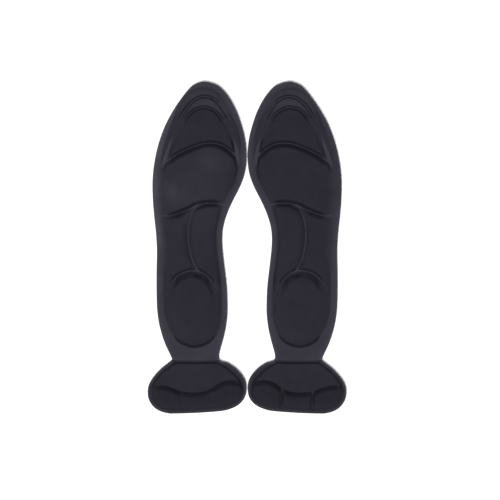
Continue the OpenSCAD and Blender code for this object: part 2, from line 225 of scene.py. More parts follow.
# How near the rim's end and a groove's middle the press still holds the cover down, and the spacing of points
# there and the margin of the 1 mm grid round the plan.
HELD_AT_RIM, HELD_AT_GROOVE = 0.6, 0.7
SWELL_STEP, SWELL_MARGIN = 2.0, 4

# The floor's size in metres, and the gap that keeps it off the release films' own faces.
FLOOR_SIZE, FLOOR_GAP = 6, 0.00005


# ---------------------------------------------------------------------------------------------------------
# Curves in plan


def smooth(points, closed=False, per_span=7):
    """A Catmull-Rom curve through the points."""
    p = np.array(points, float)
    p = np.vstack([p[-1], p, p[:2]]) if closed else np.vstack([2 * p[0] - p[1], p, 2 * p[-1] - p[-2]])
    t = np.linspace(0, 1, per_span, endpoint=False)[:, None]
    spans = []
    for a, b, c, d in zip(p, p[1:], p[2:], p[3:]):
        square, cube = 2 * a - 5 * b + 4 * c - d, 3 * b - a - 3 * c + d
        spans.append(0.5 * (2 * b + (c - a) * t + square * t**2 + cube * t**3))
    return np.vstack(spans + [p[-2:-1]])


def resample(curve, gap):
    """Points about gap apart along a curve, both ends kept."""
    along = np.concatenate([[0], np.cumsum(np.linalg.norm(np.diff(curve, axis=0), axis=1))])
    at = np.linspace(0, along[-1], max(2, round(along[-1] / gap) + 1))
    return np.column_stack([np.interp(at, along, curve[:, k]) for k in (0, 1)])


def beside(curve, offset):
    """The curve moved sideways, to its left when offset is positive."""
    d = np.gradient(curve, axis=0)
    d /= np.linalg.norm(d, axis=1)[:, None]
    return curve + offset * np.column_stack([-d[:, 1], d[:, 0]])


def distance(points, curve):
    """Distance of each point from the curve."""
    nearest = np.full(len(points), np.inf)
    lengths = np.linalg.norm(np.diff(curve, axis=0), axis=1)
    for a, b, length in zip(curve, curve[1:], lengths):
        v = points - a
        t = np.clip(v @ (b - a) / length**2, 0, 1)
        d = np.hypot(v[:, 0] - t * (b - a)[0], v[:, 1] - t * (b - a)[1])
        nearest = np.minimum(nearest, d)
    return nearest


def inside(points, loop):
    """Whether each point lies inside a closed curve."""
    crossings = np.zeros(len(points), int)
    x, y = points[:, 0], points[:, 1]
    for (ax, ay), (bx, by) in zip(loop, np.roll(loop, -1, axis=0)):
        if ay != by:
            crossings += ((ay > y) != (by > y)) & (x < ax + (y - ay) * (bx - ax) / (by - ay))
    return crossings % 2 == 1


def step(x, low, high):
    """A smooth step: 0 up to low, 1 from high on."""
    t = np.clip((x - low) / (high - low), 0, 1)
    return t * t * (3 - 2 * t)


outline = smooth(OUTLINE, closed=True)
field = smooth(FIELD, closed=True)
grip_field = smooth(GRIP_FIELD, closed=True)
grooves = {name: smooth(line) for name, line in (
    ("ridge", RIDGE_GROOVE), ("toe_pad", TOE_PAD_GROOVE), ("outer_gutter", OUTER_GUTTER),
    ("inner_gutter", INNER_GUTTER), ("toe", TOE_GROOVE), ("ball", BALL_GROOVE), ("arch", ARCH_GROOVE),
    ("heel", HEEL_GROOVE), ("wave", GRIP_WAVE), ("crease_a", GRIP_CREASES[0]), ("crease_b", GRIP_CREASES[1]))}

# The toe cushion's edge and, below it, the inner edges of the gutters: outside it are the ridges.
ridge_edge = smooth(
    [(-72, 60), (-69.9, 66.5), (-67.2, 71.8)] + TOE_PAD_GROOVE + [(-9, 73), (-7.9, 67), (-7.4, 60)])


def fold_crease_y(x):
    """Where the press sets the crease that the heel grip folds along."""
    return FOLD_MIDDLE[1] + FOLD_BOW * (x - FOLD_MIDDLE[0]) ** 2


bottom, top = np.argmin(outline[:, 1]), np.argmax(outline[:, 1])
outer_side = outline[bottom:top + 1]
inner_side = np.vstack([outline[top:], outline[1:bottom + 1]])[::-1]


# ---------------------------------------------------------------------------------------------------------
# Flat meshes of the plan


def side_between(side, low, high):
    """The stretch of one side's edge between two heights, with points EDGE_STEP apart."""
    low = side[0, 1] if low is None else low
    high = side[-1, 1] if high is None else high
    middle = side[(side[:, 1] > low) & (side[:, 1] < high)]
    ends = [(np.interp(y, side[:, 1], side[:, 0]), y) for y in (low, high)]
    return resample(np.vstack([ends[:1], middle, ends[1:]]), EDGE_STEP)


def cut_line(y, gap):
    """Points of a cut straight across, from the outer to the inner edge, the ends left out."""
    a, b = (np.interp(y, side[:, 1], side[:, 0]) for side in (outer_side, inner_side))
    near = np.array(CUT_ENDS)
    middle = np.arange(a + near[-1] + gap, b - near[-1] - gap / 2, gap)
    xs = np.concatenate([a + near, middle, (b - near)[::-1]])
    return np.column_stack([xs, np.full(len(xs), y)])


def thinned(points, cell):
    """The first point in each cell of a square grid."""
    _, first = np.unique(np.floor(points / cell).astype(int), axis=0, return_index=True)
    return points[np.sort(first)]


def feature_lines():
    """Curves along the edge, the rim's end and each groove, close together where the relief is steep."""
    edge = resample(outline, EDGE_STEP)[:-1]
    lines = [beside(edge, -offset) for offset in EDGE_ROWS]
    grip_edge = edge[edge[:, 1] < GRIP_Y - 0.4]
    lines += [beside(grip_edge, -offset) for offset in GRIP_EDGE_ROWS]
    across = np.arange(*FOLD_X, FOLD_STEP)
    lines += [np.column_stack([across, fold_crease_y(across) + offset]) for offset in FOLD_ROWS]
    for curve in (field, grip_field):
        lines += [beside(resample(curve, LINE_STEP), -offset) for offset in FIELD_ROWS]
    for curve in grooves.values():
        for offset in GROOVE_ROWS:
            lines += [beside(resample(curve, LINE_STEP), s * offset) for s in ((1, -1) if offset else (1,))]
    return lines


def bend_lines():
    """Rows along each flex line, close enough together for the backing to bend round smoothly."""
    lines = []
    for second, reach in BEND_REACH.items():
        joint = next(j for j in frame["joints"] if j["child"] == f"left_{second}")
        middle, along = np.array(joint["pos_m"][:2]) / MM, np.array(joint["axis"][:2])
        row = middle + along * np.arange(-BEND_HALF_L, BEND_HALF_L + 1, BEND_STEP)[:, None]
        offsets = np.arange(-max(reach), max(reach) + BEND_ROW / 10, BEND_ROW)
        lines += [row + along[::-1] * (-1, 1) * offset for offset in offsets]
    return lines


def plan_loop(low, high, grid):
    """The border of the plan between two cuts, anticlockwise."""
    outer, inner = side_between(outer_side, low, high)[::-1], side_between(inner_side, low, high)
    lower = cut_line(low, grid) if low is not None else np.empty((0, 2))
    upper = cut_line(high, grid)[::-1] if high is not None else np.empty((0, 2))
    # Where nothing is cut, both sides end at the same point.
    inner = inner if low is not None else inner[1:]
    outer = outer if high is not None else outer[1:]
    return np.vstack([lower, inner, upper, outer])


def hex_grid(low, high, grid):
    """Points grid apart in rows between two heights, every other row shifted by half."""
    xs, ys = np.arange(*PLAN_X, grid), np.arange(low, high, grid * math.sqrt(3) / 2)
    return np.vstack([
        np.column_stack([xs + (grid / 2 if k % 2 else 0), np.full(len(xs), y)]) for k, y in enumerate(ys)])


def triangulated(loop, points):
    """The points inside a loop, joined up: all points, triangles that face up, and the loop's own points."""
    count = len(loop)
    verts = [Vector(p) for p in np.vstack([loop, points])]
    edges = [(k, (k + 1) % count) for k in range(count)]
    out, _, faces, origins, _, _ = delaunay_2d_cdt(verts, edges, [], 1, 1e-6, True)
    flat = np.array([tuple(v) for v in out])
    tris = np.array([f for f in faces if len(f) == 3])
    tris = tris[inside(flat[tris].mean(axis=1), loop)]
    a, b, c = (flat[tris[:, k]] for k in range(3))
    turned = (b[:, 0] - a[:, 0]) * (c[:, 1] - a[:, 1]) - (b[:, 1] - a[:, 1]) * (c[:, 0] - a[:, 0]) < 0
    tris[turned] = tris[turned][:, ::-1]
    new_index = {o: k for k, ids in enumerate(origins) for o in ids}
    return flat, tris, np.array([new_index[k] for k in range(count)])


def flat_mesh(low, high, grid, lines):
    """Points, triangles and border of the plan between two cuts, with points on the lines."""
    loop = plan_loop(low, high, grid)
    y_low, y_high = loop[:, 1].min(), loop[:, 1].max()
    on_lines = thinned(np.vstack(lines), LINE_CELL)
    fill = hex_grid(y_low, y_high, grid)
    taken = {tuple(cell) for cell in np.floor(on_lines / grid).astype(int)}
    fill = fill[[tuple(cell) not in taken for cell in np.floor(fill / grid).astype(int)]]
    points = np.vstack([on_lines, fill])
    points = points[points[:, 1] > y_low + CUT_CLEAR]
    if high is not None:
        points = points[points[:, 1] < y_high - CUT_CLEAR]
    points = points[inside(points, loop)]
    to_border = distance(points, np.vstack([loop, loop[:1]]))
    return triangulated(loop, points[to_border > BORDER_CLEAR])


# ---------------------------------------------------------------------------------------------------------
# Cover held down by the press and pushed up by the foam, as a cloth simulation


def held_down(p):
    """Whether the press closes the cover on the rim or in a groove, at each point."""
    free = inside(p, field) & (distance(p, field) > HELD_AT_RIM)
    free |= inside(p, grip_field) & (distance(p, grip_field) > HELD_AT_RIM)
    for line in grooves.values():
        free &= distance(p, line) >= HELD_AT_GROOVE
    return ~free


def pressed_cloth(flat, tris):
    """How far each point of the flat cover is pushed up, in millimetres, where the press doesn't hold it."""
    mesh = bpy.data.meshes.new("swell")
    mesh.from_pydata([(x * SWELL_SCALE, y * SWELL_SCALE, 0) for x, y in flat], [], tris.tolist())
    cloth = bpy.data.objects.new("swell", mesh)
    scene = bpy.context.scene
    scene.collection.objects.link(cloth)
    pins = cloth.vertex_groups.new(name="held")
    pins.add(np.flatnonzero(held_down(flat)).tolist(), 1.0, "REPLACE")
    modifier = cloth.modifiers.new("swell", "CLOTH")
    setting = modifier.settings
    setting.quality = 6
    setting.mass = 0.2
    setting.tension_stiffness = setting.compression_stiffness = 12
    setting.shear_stiffness = 6
    setting.bending_stiffness = 0.4
    setting.vertex_group_mass = "held"
    setting.use_pressure = True
    setting.uniform_pressure_force = SWELL_PRESSURE
    setting.effector_weights.gravity = 0
    modifier.collision_settings.use_collision = False
    modifier.collision_settings.use_self_collision = False
    for frame_number in range(1, SWELL_FRAMES + 1):
        scene.frame_set(frame_number)
    swollen = cloth.evaluated_get(bpy.context.evaluated_depsgraph_get())
    lift = np.array([v.co.z for v in swollen.to_mesh().vertices]) / SWELL_SCALE
    swollen.to_mesh_clear()
    scene.frame_set(1)
    bpy.data.objects.remove(cloth)
    return lift


def simulate_swell():
    """The cover's lift between the pressed lines, from 0 to 1: a 1 mm grid's corner and its values."""
    lines = [resample(line, SWELL_STEP) for line in (*grooves.values(), field, grip_field)]
    flat, tris, _ = flat_mesh(None, None, SWELL_GRID, lines)
    lift = pressed_cloth(flat, tris)
    tree = BVHTree.FromPolygons([(x, y, 0) for x, y in flat], tris.tolist())
    low = flat.min(0) - SWELL_MARGIN
    shape = np.ceil(flat.max(0) + SWELL_MARGIN - low).astype(int)
    grid = np.zeros(shape)
    for i, j in np.ndindex(*shape):
        spot, _, face, _ = tree.ray_cast(Vector((low[0] + i, low[1] + j, 1)), Vector((0, 0, -1)))
        if spot is not None:
            corners = np.column_stack([flat[tris[face]], np.ones(3)])
            grid[i, j] = np.array((spot.x, spot.y, 1)) @ np.linalg.inv(corners) @ lift[tris[face]]
    return low, 1 - np.exp(-np.maximum(grid, 0) / SWELL_FULL)


def swell(p):
    """The simulated lift at each point: a smooth cubic B-spline over the grid."""
    low, grid = swell_grid
    at = np.clip(p - low, 1, np.array(grid.shape) - 3)
    cell = at.astype(int)
    t = at - cell
    weights = (
        (1 - t) ** 3 / 6, (3 * t**3 - 6 * t**2 + 4) / 6, (-3 * t**3 + 3 * t**2 + 3 * t + 1) / 6, t**3 / 6)
    total = 0
    for i, j in np.ndindex(4, 4):
        total = total + weights[i][:, 0] * weights[j][:, 1] * grid[cell[:, 0] + i - 1, cell[:, 1] + j - 1]
    return total


# ---------------------------------------------------------------------------------------------------------
# Relief


def shoulder(d, reach, power=1.6):
    """Profile of a pressed cushion: 0 at its seam, 1 from reach inwards, steepest at the seam."""
    return 1 - (1 - np.clip(d / reach, 0, 1)) ** power


def above(points, name):
    """Whether each point lies on the toe side of a groove that runs across."""
    line = grooves[name]
    return points[:, 1] > np.interp(points[:, 0], line[:, 0], line[:, 1])


def depth_inside(p, loop):
    """Distance of each point from a closed curve, negative outside it."""
    d = distance(p, loop)
    return np.where(inside(p, loop), d, -d)


def on_outer_side(p):
    """From 0 on the sole's inner side to 1 on its outer side."""
    return step(-(p[:, 0] - MIDDLE_X), -8, 14)


def on_ridge(p):
    """Share of the toe's ridges, against the cushions behind them, and whether a point is on a cushion."""
    d_pad = distance(p, ridge_edge)
    on_pad = inside(p, np.vstack([ridge_edge, [(-5, 40), (-75, 40)]]))
    return step(np.where(on_pad, -d_pad, d_pad), -2.5, 1.5) * step(p[:, 1], 60, 68), on_pad


def sole_grooves(p, on_pad):
    """Each groove of the sole: name, half its floor's width, its walls' reach and profile power, depth."""
    x, y = p[:, 0], p[:, 1]

    def by_wall(name, toe_side, heel_side):
        """A value for each of the two walls of a groove that runs across."""
        return np.where(above(p, name), toe_side, heel_side)

    # The grooves across get shallower towards the rim, and the heel's nearly fades out there. The grooves at
    # the ridges are deep only round the tip of the toe, and the gutters run out at both ends.
    across = 1 - 0.3 * step(np.abs(x + 40), 22, 34)
    heel_fade = 1 - 0.95 * step(np.abs(x + 45.5), 13, 22)
    ridge_end = 0.12 + 0.88 * step(y, 99, 113)
    outer_gutter = step(y, 62, 70) * (1 - step(y, 84, 98))
    inner_gutter = step(y, 64, 72) * (1 - step(y, 84, 97))
    return [
        ("ridge", by_wall("ridge", 0.25, 0.5), by_wall("ridge", 1.3, 1.9), 1.2, 0.92 * ridge_end),
        ("toe_pad", 0.3, np.where(on_pad, 2.2, 1.4), 1.3, 0.95 * ridge_end),
        ("outer_gutter", 1.4 - 0.9 * step(y, 74, 95), 1.8, 1.6, 0.92 * outer_gutter),
        ("inner_gutter", 1.4 - 0.9 * step(y, 76, 96), 1.8, 1.6, 0.92 * inner_gutter),
        ("toe", 0.3, by_wall("toe", 2.0, 3.9), 1.3, 0.98 * across),
        ("ball", 0.3, by_wall("ball", 2.9, 3.7), 1.3, 0.95 * across),
        ("arch", 0.5, 6.0, 1.8, 0.78),
        ("heel", 0.3, by_wall("heel", 1.9, 6.2), 1.25, 0.95 * heel_fade)]


def sole_relief(p):
    """Height of the cover over the rim, heel seat to toe."""
    y = p[:, 1]
    d = np.maximum(depth_inside(p, field), 0)
    heel_end, toe_side, outer = step(-y, 70, 82), step(y, 84, 98), on_outer_side(p)
    # The cushions' wall along the rim is the sum of a hard one, with this share of the height, and a soft
    # one. It is gentle on the outer side and steep at the inner side and behind the heel.
    share = (0.08 - 0.03 * outer) * (0.3 + 0.7 * step(y, -40, -20))
    share = share + (0.85 - share) * heel_end
    share = share + (0.1 + 0.3 * step(y, 119, 129) - share) * toe_side
    # The soft wall reaches further in on the inner side of the heel and of the back of the ball.
    inner_ease = (1 - outer) * (6.5 * step(-y, 25, 45) + 4.5 * step(y, 34, 42) * (1 - step(y, 52, 62)))
    soft_reach = (7.5 + 6.5 * outer + inner_ease) * (1 - toe_side) + 5 * toe_side
    rim_wall = share * shoulder(d, 2.4 + 0.8 * heel_end, 1.4) + (1 - share) * shoulder(d, soft_reach, 1.5)
    ridge, on_pad = on_ridge(p)
    crown = np.interp(y, CROWN_Y, CROWN_H)
    h = rim_wall * (crown + (RIDGE_H - crown) * ridge)
    for name, floor, reach, power, depth in sole_grooves(p, on_pad):
        to_wall = np.maximum(distance(p, grooves[name]) - floor, 0)
        h *= 1 - depth * (1 - shoulder(to_wall, reach, power))
    return h * (1 - SWELL_SHARE * (1 - swell(p)))


def grip_relief(p):
    """Height of the cover over the rim on the heel grip: its field, its roll, and its creases' walls."""
    x, y = p[:, 0], p[:, 1]
    d = np.maximum(depth_inside(p, grip_field), 0)
    below = np.interp(x, grooves["wave"][:, 0], grooves["wave"][:, 1]) - y
    # The roll rises from its upper edge, and from the rim partly at once and partly over a longer reach.
    roll = shoulder(np.maximum(below, 0), 5.0, 1.25) * (0.4 * shoulder(d, 3.0) + 0.6 * shoulder(d, 9, 1.6))
    roll *= 1 - SWELL_SHARE * (1 - swell(p))
    walls = 1
    # The steeper wall of each crease is on its inner side.
    for name in ("crease_a", "crease_b"):
        line = grooves[name]
        beyond = np.interp(-y, -line[:, 1], line[:, 0]) - x
        wall = np.where(beyond > 0, shoulder(beyond - 0.3, 3.4), shoulder(-beyond - 0.3, 2.2, 2))
        walls = walls * wall
    return GRIP_FIELD_H * shoulder(d, 2.0), (GRIP_ROLL_H - GRIP_FIELD_H) * roll, walls


def unevenness(p, side):
    """Slight random swell of foam, from -1 to 1 or so."""
    q = p + (0 if side == "left" else UNEVEN_SHIFT)
    total = 0
    for direction, phase, length in WAVES:
        total = total + np.sin(q @ direction / np.linalg.norm(direction) * 2 * math.pi / length + phase)
    return total / math.sqrt(len(WAVES))


def relief(p):
    """What both sides share of the cover's height at each point of the plan."""
    on_grip = p[:, 1] < GRIP_Y
    base, roll, walls = np.zeros(len(p)), np.zeros(len(p)), np.ones(len(p))
    base[~on_grip] = sole_relief(p[~on_grip])
    base[on_grip], roll[on_grip], walls[on_grip] = grip_relief(p[on_grip])
    # The press leaves a fine line inside the edge of the heel grip, and a crease where the grip folds.
    d_edge = distance(p, outline)
    lines = EDGE_LINE_DEPTH * np.exp(-((d_edge - EDGE_LINE_AT) / EDGE_LINE_W) ** 2) * step(-p[:, 1], 95.5, 98)
    crease = p[:, 1] - fold_crease_y(p[:, 0])
    lines += FOLD_DEPTH * np.exp(-(crease / FOLD_W) ** 2) * step(d_edge, 0.2, 2)
    return p, base, roll, walls, lines


def height(shared, side):
    """Height of the cover over the rim, in millimetres, on one side."""
    p, base, roll, walls, lines = shared
    h = base + roll * (1 - CREASE_DEPTH[side] * (1 - walls))
    return h * (1 + UNEVEN_SHARE * unevenness(p, side)) - lines


def pressed_and_highlight_share(p, side):
    """How smooth and light the press has left the cover, from 0 on the cushions to 1, plus painted highlights
    and shade.
    """
    y = p[:, 1]
    d_edge = distance(p, outline)
    outer = on_outer_side(p)
    # Painted light on the outer side's rim, which fades out over 20 mm at both ends.
    low, high, amount = RIM_PAINTED_LIGHT[side]
    sheen = outer * (1 - step(d_edge, 2, 8.5)) * step(y, low - 20, low) * (1 - step(y, high, high + 20))
    rim = RIM_SHINE + STRIP_SHINE * (1 - step(d_edge, 0.5, 5.5)) + amount * sheen
    # The rim passes softly into the cushions on the outer side of the arch and the ball.
    soft = outer * step(y, -25, 0) * (1 - step(y, 58, 72))
    sole = rim * (1 - step(depth_inside(p, field), -0.6 - 1.5 * soft, 1.0 + 5 * soft))
    ridge, on_pad = on_ridge(p)
    sole = np.maximum(sole, RIDGE_SHINE * ridge * (0.25 + 0.75 * step(y, 106, 120)))
    for name, floor, _, _, depth in sole_grooves(p, on_pad):
        shine = ARCH_SHINE if name == "arch" else GROOVE_SHINE
        on_floor = 1 - step(distance(p, grooves[name]), floor, floor + 0.5)
        sole = np.maximum(sole, shine * depth * on_floor)
    # Painted highlights on the ball cushion: one wide patch and small spots.
    patch_x, patch_y, patch_r = BALL_HIGHLIGHT_PATCH
    nap = BALL_PAINTED_HIGHLIGHT[side] * np.exp(-((p[:, 0] - patch_x) / patch_r) ** 2 - ((y - patch_y) / patch_r) ** 2)
    for spot_x, spot_y, radius in BALL_HIGHLIGHT_SPOTS[side]:
        nap += SPOT_PAINTED_HIGHLIGHT * np.exp(-((p[:, 0] - spot_x) ** 2 + (y - spot_y) ** 2) / radius**2)
    sole = np.maximum(sole, nap)
    on_grip = step(-y, 94.5, 96.5)
    # Painted highlight along the grip's edge.
    grip = GRIP_EDGE_HIGHLIGHT * (1 - step(d_edge, 0.6, 3.2))
    if side == "right":
        for name in ("crease_a", "crease_b"):
            between_ends = step(-y, 118, 121) * (1 - step(-y, 132, 135))
            on_crease = 1 - step(distance(p, grooves[name]), 0.4, 1.3)
            grip = np.maximum(grip, CREASE_SHINE * between_ends * on_crease)
    return sole * (1 - on_grip) + grip * on_grip


def edge_drop(d):
    """How far the cut edge's round shoulder falls at distance d from the outline."""
    t = np.clip(1 - d / EDGE_ROUND, 0, 1)
    return EDGE_ROUND * (1 - np.sqrt(1 - t * t))


# ---------------------------------------------------------------------------------------------------------
# Layers


def plan_to_frame(flat, side):
    """Plan millimetres to frame millimetres, so that the plan fills the CAD insole's own box."""
    boxes = [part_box(f"left_{part}_backing") for part in ("grip", "toe", "ball")]
    low = np.array([min(b[0][k] for b in boxes) for k in (0, 1)]) / MM
    high = np.array([max(b[1][k] for b in boxes) for k in (0, 1)]) / MM
    placed = low + (flat - PLAN_LOW) * (high - low) / (PLAN_HIGH - PLAN_LOW)
    return placed * (1 if side == "left" else -1, 1)


def layer_heights():
    """Heights in millimetres that the layers share, from the CAD solids and the toe's joint, at the rim."""
    rim = next(j for j in frame["joints"] if j["name"] == "left_toe_flex")["pos_m"][2] / MM
    backing_low, backing_high = (corner.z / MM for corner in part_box("left_ball_backing"))
    cover_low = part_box("left_toe_cover")[0].z / MM
    return {"rim": rim, "cover": rim - cover_low, "backing_low": backing_low, "backing_high": backing_high}


Z = layer_heights()


def upper_skin(reliefs, side):
    """The cover's top at each point: height over the rim, normal, painted shade of its walls and roll."""
    h, h_x, h_y = (height(shared, side) for shared in reliefs)
    slope_x, slope_y = (h_x - h) / SLOPE_DELTA, (h_y - h) / SLOPE_DELTA
    normal = np.column_stack([-slope_x, -slope_y, np.ones(len(h))])
    roll = reliefs[0][2]
    # The grip's roll gets painted shade too, rising with its height.
    shade = np.maximum(step(np.hypot(slope_x, slope_y), *DARK_SLOPE), ROLL_PAINTED_SHADE * roll / GRIP_ROLL_H)
    return h, normal / np.linalg.norm(normal, axis=1)[:, None], shade


def shell(name, flat, tris, border, side, z_top, z_bottom, top_normal, attributes):
    """A closed layer over the plan: an upper and a lower skin and a wall between them, as a mesh object."""
    n = len(flat)
    place = plan_to_frame(flat, side)
    verts = np.vstack([np.column_stack([place, z_top]), np.column_stack([place, z_bottom])]) * MM
    i, j = border, np.roll(border, -1)
    wall = np.vstack([np.column_stack([i, i + n, j + n]), np.column_stack([i, j + n, j])])
    faces = np.vstack([tris, tris[:, ::-1] + n, wall])
    if side == "right":
        faces = faces[:, ::-1]
    mesh = bpy.data.meshes.new(name)
    mesh.from_pydata(verts.tolist(), [], faces.tolist())
    mesh.update()
    obj = bpy.data.objects.new(name, mesh)
    bpy.context.scene.collection.objects.link(obj)
    # Shading normals: the relief's own on the upper skin, so that no cut between pieces shows.
    around = np.roll(flat[border], -1, axis=0) - np.roll(flat[border], 1, axis=0)
    outward = np.zeros((n, 3))
    outward[border, :2] = np.column_stack([around[:, 1], -around[:, 0]])
    outward /= np.maximum(np.linalg.norm(outward, axis=1), 1e-9)[:, None]
    turn = np.array((1 if side == "left" else -1, 1, 1))
    corner_normals = np.full((len(faces), 3, 3), (0.0, 0.0, -1.0))
    corner_normals[:len(tris)] = top_normal[faces[:len(tris)]] * turn
    corner_normals[2 * len(tris):] = outward[faces[2 * len(tris):] % n] * turn
    mesh.polygons.foreach_set("use_smooth", np.ones(len(faces), bool))
    mesh.normals_split_custom_set(corner_normals.reshape(-1, 3).tolist())
    rest = np.vstack([np.column_stack([flat, z_top]), np.column_stack([flat, z_bottom])])
    add_attribute(mesh, "rest_mm", "FLOAT_VECTOR", rest * turn)
    for key, value in attributes.items():
        add_attribute(mesh, key, "FLOAT", np.concatenate([value, value]))
    return obj


def add_attribute(mesh, name, kind, values):
    """Gives each point of a mesh its value, for the materials to read."""
    attribute = mesh.attributes.new(name, kind, "POINT")
    key = "vector" if kind == "FLOAT_VECTOR" else "value"
    attribute.data.foreach_set(key, values.astype(np.float32).ravel())


# ---------------------------------------------------------------------------------------------------------
# Materials


def material(name):
    """A new material: its node tree's builder and its Principled shader."""
    made = bpy.data.materials.new(name)
    made.use_nodes = True
    return made, Nodes(made.node_tree), made.node_tree.nodes["Principled BSDF"]


class Nodes:
    """Short ways to add shader nodes."""

    def __init__(self, tree):
        self.tree = tree

    def add(self, kind, inputs=(), **settings):
        node = self.tree.nodes.new(kind)
        for key, value in settings.items():
            setattr(node, key, value)
        for key, value in dict(inputs).items():
            if hasattr(value, "is_output"):
                self.tree.links.new(value, node.inputs[key])
            else:
                node.inputs[key].default_value = value
        return node

    def link(self, output, node_input):
        self.tree.links.new(output, node_input)

    def attribute(self, name, output="Fac"):
        return self.add("ShaderNodeAttribute", attribute_name=name).outputs[output]

    def math(self, operation, a, b=0.0, c=0.0):
        return self.add("ShaderNodeMath", {0: a, 1: b, 2: c}, operation=operation).outputs[0]

    def noise(self, vector, scale, detail=3.0, roughness=0.5):
        inputs = {"Vector": vector, "Scale": scale, "Detail": detail, "Roughness": roughness}
        return self.add("ShaderNodeTexNoise", inputs).outputs["Fac"]

    def remap(self, value, low, high, to_low=0.0, to_high=1.0):
        node = self.add("ShaderNodeMapRange", {0: value, 1: low, 2: high, 3: to_low, 4: to_high})
        return node.outputs[0]

    def mix(self, factor, a, b):
        node = self.add("ShaderNodeMix", {"Factor": factor, 6: a, 7: b}, data_type="RGBA")
        return node.outputs[2]

    def bump(self, height, strength, distance_m, normal=None):
        inputs = {"Height": height, "Strength": strength, "Distance": distance_m}
        if normal is not None:
            inputs["Normal"] = normal
        return self.add("ShaderNodeBump", inputs).outputs["Normal"]


def knit_height(n, rest, wale, course):
    """Height of a fine jersey knit: columns of V-shaped stitches, wale mm wide and course mm tall."""
    split = n.add("ShaderNodeSeparateXYZ", {0: rest})
    u = n.math("PINGPONG", n.math("DIVIDE", split.outputs[0], wale), 0.5)
    v = n.math("ADD", n.math("DIVIDE", split.outputs[1], course), n.math("MULTIPLY", u, 1.3))
    stitch = n.math("SINE", n.math("MULTIPLY", v, 2 * math.pi))
    column = n.math("SINE", n.math("MULTIPLY", u, 2 * math.pi))
    return n.math("ADD", n.math("MULTIPLY", stitch, 0.5), column)


def cover_material():
    """Brushed knit, near black; pressed parts smoother and lighter than the cushions' nap; painted shade and
    highlights.
    """
    made, n, shader = material("brushed_knit")
    rest = n.attribute("rest_mm", "Vector")
    pressed = n.attribute("pressed")
    edge = n.attribute("edge")
    nap = n.noise(rest, 1.9, 5, 0.65)
    brushed = n.add("ShaderNodeMapping", {"Vector": rest, "Scale": (1, 0.3, 1)}).outputs[0]
    fibres = n.noise(brushed, 6.5, 3, 0.6)
    patches = n.noise(rest, 0.085, 3, 0.55)
    knit = knit_height(n, rest, 0.62, 0.5)
    nap_color = n.mix(n.remap(patches, 0.3, 0.7), (0.0090, 0.0084, 0.0140, 1), (0.0121, 0.0114, 0.0183, 1))
    smooth_color = n.mix(n.remap(patches, 0.3, 0.7), (0.0330, 0.0314, 0.0425, 1), (0.0460, 0.0438, 0.0570, 1))
    # The pressed share also carries painted highlights, and painted shade on the right's outer rim.
    color = n.mix(pressed, nap_color, smooth_color)
    color = n.mix(n.remap(nap, 0.35, 0.75, 0.0, 0.4), color, (0.024, 0.023, 0.031, 1))
    color = n.mix(n.remap(fibres, 0.5, 0.8, 0.0, 0.35), color, (0.040, 0.038, 0.048, 1))
    stitches = n.math("MULTIPLY", n.remap(knit, 0.4, 1.5, 0.0, 0.25), pressed)
    color = n.mix(stitches, color, (0.058, 0.055, 0.064, 1))
    # Painted highlight along the rounded cut edge, broken up by noise.
    edge_highlight = n.math("MULTIPLY", edge, n.remap(n.noise(rest, 0.9, 4), 0.35, 0.7))
    color = n.mix(n.math("MULTIPLY", edge_highlight, 0.5), color, (0.075, 0.072, 0.085, 1))
    # Painted shade: the steep walls and the grip's roll go near black.
    color = n.mix(n.math("MULTIPLY", n.attribute("shade"), 0.92), color, (0.0012, 0.0012, 0.0035, 1))
    n.link(color, shader.inputs["Base Color"])
    rough = n.math("ADD", n.math("MULTIPLY", pressed, -0.22), n.remap(nap, 0.3, 0.7, 0.86, 0.96))
    n.link(rough, shader.inputs["Roughness"])
    shader.inputs["Specular IOR Level"].default_value = 0.16
    shader.inputs["Sheen Weight"].default_value = 0.1
    shader.inputs["Sheen Roughness"].default_value = 0.5
    shader.inputs["Sheen Tint"].default_value = (0.66, 0.66, 1.0, 1)
    waves = n.bump(n.noise(rest, 0.16, 3, 0.5), 0.35, 0.0006)
    fluff = n.bump(fibres, 0.45, 0.00016, n.bump(nap, 0.6, 0.0003, waves))
    n.link(n.bump(knit, 0.35, 0.00012, fluff), shader.inputs["Normal"])
    return made


def foam_material():
    """Black closed-cell foam, seen at the cut edge."""
    made, n, shader = material("cut_foam")
    rest = n.attribute("rest_mm", "Vector")
    cells = n.add("ShaderNodeTexVoronoi", {"Vector": rest, "Scale": 2.6}).outputs["Distance"]
    tone = n.remap(n.noise(rest, 0.5, 4), 0.3, 0.7)
    color = n.mix(tone, (0.016, 0.016, 0.018, 1), (0.032, 0.031, 0.035, 1))
    color = n.mix(n.remap(cells, 0.0, 0.35, 0.55, 0.0), color, (0.006, 0.006, 0.007, 1))
    n.link(color, shader.inputs["Base Color"])
    n.link(n.remap(cells, 0.0, 0.6, 0.95, 0.7), shader.inputs["Roughness"])
    shader.inputs["Specular IOR Level"].default_value = 0.3
    n.link(n.bump(cells, 0.6, 0.0003), shader.inputs["Normal"])
    return made


